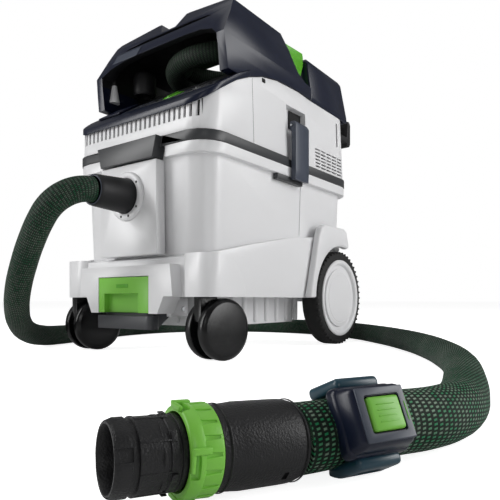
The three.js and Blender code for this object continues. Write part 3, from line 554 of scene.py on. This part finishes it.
# The inlet: a collar with four screws on the container's front, and a black swivel cuff with fine
# rings that narrows to the hose, finished by a pale clamping ring.
port = Matrix.Translation((0, -0.2425, 0.271))
made("collar_ring", "inlet_collar", turned([
    (30.4, -47.4), (30.4, -52.6), (31, -53), (37.5, -53), (39.4, -52.4), (41, -50.6), (41.5, -48.6),
    (41.5, -47.4)], port, 72), white_shell, nodes=["inlet_collar"], sharp=40)
made("collar_screws", "inlet_collar", gathered([turned(
    [(0, -52.6), (1.9, -52.6), (1.9, -53.5), (1.5, -53.8), (0, -53.8)],
    port @ Matrix.Rotation(math.radians(angle), 4, "Y") @ Matrix.Translation((0.0355, 0, 0)), 16, False)
    for angle in (35, 75, 105, 145, 215, 325)]), shade_and_screw_black)
cuff_steps = [(26 + 3.5 * (along + 108) / 55 - (0.35 if step % 2 else 0), along)
              for step, along in enumerate(range(-108, -52, 3))]
made("cuff_body", "inlet_cuff", turned(
    [(22, -118), (24.4, -118), (25, -117.2), (25.6, -112)] + cuff_steps
    + [(29.4, -52), (29.5, -4), (25, -4), (22, -18)], port, 72), black_matt, nodes=["inlet_cuff"], sharp=50)
made("cuff_ring", "inlet_cuff", turned([
    (21.8, -118.2), (22.8, -119), (23.6, -118.8), (24.2, -118), (23.6, -117.4), (22, -117.4)], port, 64),
    slate_face, sharp=60)

# The rear wheels: a rubber tyre with small side lugs, a white rim with a deep ring and a pale cap.
for side, hand in ((1, "right"), (-1, "left")):
    wheel = (Matrix.Translation((0, 0.1455, 0.1)) @ Matrix.Rotation(math.radians(-90 * side), 4, "Z"))
    made(f"tyre_rubber_{hand}", f"tyre_{hand}", turned([
        (82, 140), (92, 140), (96.5, 141.4), (99, 144.5), (100, 149), (100, 171), (99.2, 174.5), (97, 177.5),
        (93.5, 179.6), (86, 180), (82, 179.6)], wheel, 96), tyre_black, nodes=[f"tyre_{hand}"], sharp=50)
    made(f"tyre_lugs_{hand}", f"tyre_{hand}", gathered([block(
        (93.6, 172.5, -1.7), (99.3, 179.4, 1.7), 0.6,
        wheel @ Matrix.Rotation(math.radians(angle * 7.5), 4, "Y")) for angle in range(48)]), tyre_black)
    made(f"rim_ring_{hand}", f"wheel_rim_{hand}", turned([
        (8.4, 143), (22, 143), (24, 156), (72, 156), (74, 141), (81.6, 141), (81.6, 180.6), (80.4, 182),
        (76, 182), (74, 181.4), (72.4, 179.6), (70, 175.4), (66, 174.8), (8.4, 174.8)], wheel, 96),
        white_shell, nodes=[f"wheel_rim_{hand}"], sharp=50)
    made(f"cap_dish_{hand}", f"hub_cap_{hand}", turned([
        (0, 175.5), (62, 175.5), (62, 177.4), (61.3, 178.2), (58, 178.6), (54, 179.2), (53.4, 178.9),
        (52, 178.9), (51.4, 179.4), (30, 180.2), (0, 180.5)], wheel, 96, False), white_shell,
        nodes=[f"hub_cap_{hand}"], sharp=30)

# The castors: glossy twin discs with a rounded rim on a forked housing.
for side, hand, turn_angle in ((1, "right", -8), (-1, "left", -4.5)):
    fork = (Matrix.Translation((side * 0.157, -0.2665, 0))
            @ Matrix.Rotation(math.radians(turn_angle), 4, "Z") @ Matrix.Translation((0, 0.024, 0.049)))
    for face in (1, -1):
        place_name = "outer" if face * side > 0 else "inner"
        disc_place = fork @ Matrix.Rotation(math.radians(-90 * face), 4, "Z")
        made(f"castor_disc_{place_name}_{hand}", f"castor_wheel_{place_name}_{hand}", turned([
            (4.35, 9), (47.4, 9), (48.6, 9.8), (49, 11.4), (49, 18), (48.2, 21), (46.2, 23), (43.4, 24.2),
            (42.6, 24.9), (38, 25.5), (20, 26), (0, 26), (0, 24), (4.35, 24)], disc_place, 72),
            black_gloss, nodes=[f"castor_wheel_{place_name}_{hand}"], sharp=32)

# Stowed in the bay: a second woven hose in a flat coil, its black end fitting with a knob, and two
# pale posts with dark caps that keep the coil in place.
coil_route = []
for step in range(61):
    angle = math.pi * 0.8 + step / 60 * 1.1 * math.tau
    coil_route.append(Vector((32 + 84 * math.cos(angle), -89.5 + 84 * math.sin(angle),
                              527 + step / 60 * 1.1 * 38)) / 1000)
coil_shape, coil_length = carried_tube(coil_route, lambda share: 0.018, 32)
made("stowed_sleeve", "stowed_hose", coil_shape, sleeve_material(
    "stowed_braid", (0.0015, 0.003, 0.002), (0.3, 0.36, 0.3), (0.08, 0.2, 0.1), 40, 190, 240),
    nodes=["stowed_hose"])
fitting = Matrix.Translation((-0.112, -0.1505, 0.509)) @ Matrix.Rotation(math.radians(90), 4, "X")
made("stowed_end", "stowed_fitting", turned([
    (15, 0), (20.4, 0), (21, 0.8), (22.6, 5), (23, 7), (23, 38), (22, 40.6), (19, 41.4), (18.4, 45.4),
    (17.8, 46), (15, 46)], fitting, 64), black_matt, nodes=["stowed_fitting"], sharp=40)
posts = [Matrix.Translation((x, y, z)) @ Matrix.Rotation(math.radians(90), 4, "X")
         for x, y, z in ((0.128, -0.1555, 0.5085), (-0.1455, -0.2, 0.4925))]
made("bay_posts", "hose_bay", gathered([turned([
    (0, -4), (10.5, -4), (10.5, 0), (9.4, 4), (4.6, 32), (0, 32)], post, 32, False) for post in posts]),
    white_shell, sharp=40)
made("bay_post_caps", "hose_bay", gathered([turned([
    (0, 31), (4.8, 31), (6, 33), (6, 38), (4.6, 40.6), (0, 41.4)], post, 32, False) for post in posts]),
    black_matt, sharp=60)

# The container: a drafted white tub on a ribbed belly. A long groove runs down each flank behind
# the latch, and the ribs are rounded and stop above the belly's foot.
draft = math.atan(7 / 218)
flanks = []
for side in (1, -1):
    lean = Matrix.Translation((side * 0.1595, 0.0125, 0.328)) @ Matrix.Rotation(side * draft, 4, "Y")
    flanks.append(block((-1.6, -1.6, -106), (4, 1.6, -2), 0, lean))
made("tub", "container", cad_copy("container"), white_shell, nodes=["container"], soften=0.002,
     cuts=flanks)
made("belly_ribs", "container", gathered([
    block((side * 110 - 5, y - 5.5, 53), (side * 110 + 5, y + 5.5, 111), 4.5,
          Matrix.Translation((0, -0.2425, 0)))
    for side in (1, -1) for y in range(62, 320, 36)] + [
    block((x - 5.5, 27, 53), (x + 5.5, 37, 111), 4.5, Matrix.Translation((0, -0.2425, 0)))
    for x in range(-84, 90, 42)]), white_shell, sharp=60)

# The head: a white shell with an upright seam, a small port under the navy edge and air slots with bars
# across them. Flat black strips, blocks and plates are painted shade in the seams, in the ports, behind the air
# slots and the comb slots, and in the hollow behind the top of each latch.
seams = [block((side * 166.5 - 4, -154.1, 355), (side * 166.5 + 4, -152.9, 500)) for side in (1, -1)]
made("shell_white", "head_shell", cad_copy("head_shell"), white_shell, nodes=["head_shell"],
     soften=0.0006, cuts=[], sharp=40)
# Thin black strips along the upright seams: painted shade in the seam grooves.
made("shell_seam_shade", "head_shell", gathered([block(
    (-0.3, -153.9, 365), (0.3, -153.1, 478), 0,
    Matrix.Translation((side * 0.1668, 0, 0)) @ Matrix.Translation((0, 0, 0.363))
    @ Matrix.Rotation(-side * math.atan(5 / 152), 4, "Y") @ Matrix.Translation((0, 0, -0.363)))
    for side in (1, -1)]), shade_and_screw_black)
# Small black blocks under the overhanging navy edge: painted shade in the ports.
made("shell_port_shade", "head_shell", gathered([
    block((side * 161.5 - 3, -124, 481), (side * 161.5 + 3, -115, 488), 0.8) for side in (1, -1)]), shade_and_screw_black)
made("vent_bars", "head_shell", gathered([
    block((side * 161.6 - 3.6, y - 1.7, 368), (side * 161.6 + 3.6, y + 1.7, 409))
    for side in (1, -1) for y in (84.1, 107.7, 131.3, 154.9)]), white_shell)
# Black plates behind the air slots: painted shade inside the vents.
made("vent_slot_shade", "head_shell", gathered([
    block((side * 156 - 1, 58, 367), (side * 156 + 1, 182, 410)) for side in (1, -1)]), shade_and_screw_black)
# Black sheets in the hollows behind the latch tops: painted shade.
made("latch_hollow_shade", "head_shell", gathered([
    block((side * 152.4 - 1, -20, 428), (side * 152.4 + 1, 22, 463), 0.5) for side in (1, -1)]), shade_and_screw_black)
# A black strip behind the comb slots: painted shade inside the slots.
made("comb_slot_shade", "head_shell", block((-150, -266.5, 383), (150, -265, 411)), shade_and_screw_black)

# The navy parts of the head. The bay is black inside, and the deck carries a dark glossy panel
# with thin pale marks and a green scale round its dial.
made("bay_shell", "hose_bay", cad_copy("hose_bay"), navy_shell, nodes=["hose_bay"], soften=0.0025,
     inside=(black_matt, lambda spot, normal: abs(spot.x) < 0.1485 and 0.49 < spot.z < 0.5925
             and -0.232 < spot.y < 0.05 and not (spot.y < -0.2 and normal.y < -0.5)))
deck = (Matrix.Translation((0, -0.2235, 0.453)) @ Matrix.Rotation(math.atan(0.65), 4, "X"))
made("deck_panel", "control_deck", block((-64, -19, -0.4), (146, 27, 0.5), 0.4, deck), black_gloss,
     cuts=[turned([(0, -5), (18.4, -5), (18.4, 5), (0, 5)], deck @ Matrix.Translation((x / 1000, 0.002, 0))
                  @ Matrix.Rotation(math.radians(90), 4, "X"), 48, False) for x in (42, 108)])
made("deck_marks", "control_deck", gathered([
    block((x - w, y - 0.5, 0.3), (x + w, y + 0.5, 0.8), 0, deck) for x, y, w in (
        (-48, -12, 9), (-48, 0, 6), (-48, 12, 9), (-24, -14, 7), (-24, 4, 8), (-24, 16, 5), (4, -14, 9),
        (4, 10, 6), (75, -14, 8), (75, 14, 8), (132, -12, 7), (132, 12, 7), (75, 0, 4))] + [
    block((x - 0.5, y - 5, 0.3), (x + 0.5, y + 5, 0.8), 0, deck) for x, y in (
        (-58, 6), (-39, 6), (-31, -5), (-16, -4), (13, 0), (66, 3), (84, -3), (124, 3), (140, -3))]),
    slate_face)
made("deck_scale", "control_deck", turned([
    (18.8, -0.6), (20.4, -0.6), (20.4, 0.7), (18.8, 0.7)], deck @ Matrix.Translation((0.042, 0.002, 0))
    @ Matrix.Rotation(math.radians(90), 4, "X"), 64), lime_gloss)
made("fascia_label", "hose_bay", block((-132, -14, -0.6), (-62, 10, 0.5), 0.4,
     Matrix.Translation((0, -0.2085, 0.5695)) @ Matrix.Rotation(math.atan2(38, 21), 4, "X")), slate_face,
     cuts=[block((-130.8, -12.8, 0.1), (-63.2, 8.8, 3), 0, Matrix.Translation((0, -0.2085, 0.5695))
                 @ Matrix.Rotation(math.atan2(38, 21), 4, "X"))])

# The chassis: a white skirt with a front bumper. Over each castor it swells outward, and the
# swelling ends behind in one long curve that runs down to the skirt's lower edge.
curve_knots = [(-14, 170), (2, 163), (17, 153.5), (28, 141), (35.5, 127.6), (43, 112), (49.5, 96)]
swell_cuts = []
for side in (1, -1):
    cutter = bmesh.new()
    corners = [cutter.verts.new((side * 0.1688, (y - 242.5) / 1000, z / 1000))
               for y, z in curve_knots + [(80, 96), (80, 180), (-14, 180)]]
    cutter.faces.new(corners)
    grown = bmesh.ops.extrude_face_region(cutter, geom=cutter.faces[:])["geom"]
    bmesh.ops.translate(cutter, vec=(side * 0.03, 0, 0),
                        verts=[g for g in grown if isinstance(g, bmesh.types.BMVert)])
    bmesh.ops.recalc_face_normals(cutter, faces=cutter.faces)
    swell_cuts.append(cutter)
made("chassis_skirt", "chassis", cad_copy("chassis"), white_shell, nodes=["chassis"], soften=0.003,
     cuts=swell_cuts)

# The brake plate and its pedal: a stepped scoop in the plate and a ring-edged foot bar below it.
made("plate_green", "brake_plate", cad_copy("brake_plate"), lime_pale, nodes=["brake_plate"],
     soften=0.0008)
made("plate_mark", "brake_plate", block((-16, -300.6, 116), (14, -299.9, 122), 0.3), lime_gloss)

for node, material, width in [
    ("inlet_panel", white_shell, 0.002),
    ("wheel_fender_right", white_shell, 0.004), ("wheel_fender_left", white_shell, 0.004),
    ("head_frame", band_grey, 0.0012), ("control_deck", navy_shell, 0.0015),
    ("rear_cover", navy_shell, 0.004), ("case_clamp", lime_gloss, 0.0015),
    ("latch_right", slate_face, 0.0012), ("latch_left", slate_face, 0.0012),
    ("cable_hook_right", black_matt, 0.003), ("cable_hook_left", black_matt, 0.003),
    ("brake_pedal", pedal_dark, 0.004), ("socket_lid", navy_shell, 0.001),
    ("suction_dial", lime_gloss, 0.0006), ("mode_dial", band_grey, 0.0006),
    ("castor_fork_right", black_gloss, 0.002), ("castor_fork_left", black_gloss, 0.002),
    ("latch_catch_right", band_grey, 0.0008), ("latch_catch_left", band_grey, 0.0008),
]:
    made(node + "_skin", node, cad_copy(node), material, nodes=[node], soften=width)

for node, material in [
    ("rear_axle", bright_steel), ("castor_pin_right", bright_steel), ("castor_pin_left", bright_steel),
    ("castor_axle_right", bright_steel), ("castor_axle_left", bright_steel),
    ("brake_shaft", bright_steel), ("motor", cast_alloy), ("fan_impeller", cast_alloy),
    ("main_filter", filter_paper), ("tool_socket", black_matt), ("latch_pin_right", bright_steel),
    ("latch_pin_left", bright_steel),
]:
    data = frame["nodes"][node].data
    data.materials.clear()
    data.materials.append(material)
